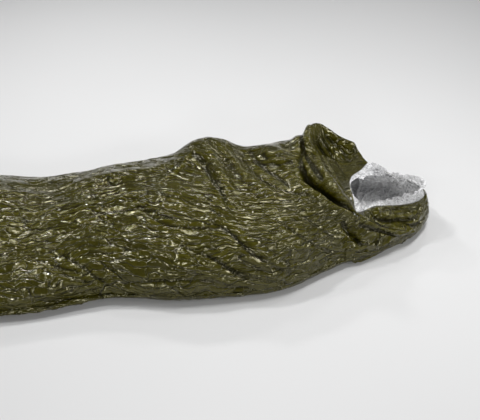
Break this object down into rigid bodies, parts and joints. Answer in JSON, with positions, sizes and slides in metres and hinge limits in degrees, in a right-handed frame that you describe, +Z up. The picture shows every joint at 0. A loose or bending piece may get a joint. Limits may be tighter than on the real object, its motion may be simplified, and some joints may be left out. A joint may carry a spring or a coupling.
{
  "type": "survival bag",
  "caption": "Full-length survival bag of glossy crinkled film with a bright lining, lying filled out, open at the hood where the face looks out.",
  "frame": {"origin": "middle of the bottom face of the box round the whole bag, on the ground", "axes": "+X along the bag from the foot to the crown of the hood, +Y from the pictured side to the far side, +Z up off the ground"},
  "size_m": [2.013, 0.809, 0.3531],
  "materials": {
    "olive_film": "glossy, finely crinkled laminate film, olive drab",
    "bright_lining": "bright metallised film, crumpled",
    "olive_weld": "flat heat-welded band of the same film",
    "clear_hem": "turned edge of the bright lining"
  },
  "bodies": {
    "root": {"outer_upper_panel": "olive_film", "lining_upper_panel": "bright_lining", "outer_ground_panel": "olive_film", "lining_ground_panel": "bright_lining", "outer_hood": "olive_film", "hood_lining": "bright_lining", "neck_seam": "olive_weld", "near_side_seam": "olive_weld", "far_side_seam": "olive_weld", "foot_seam": "olive_weld", "mouth_hem": "clear_hem"}
  },
  "joints": []
}
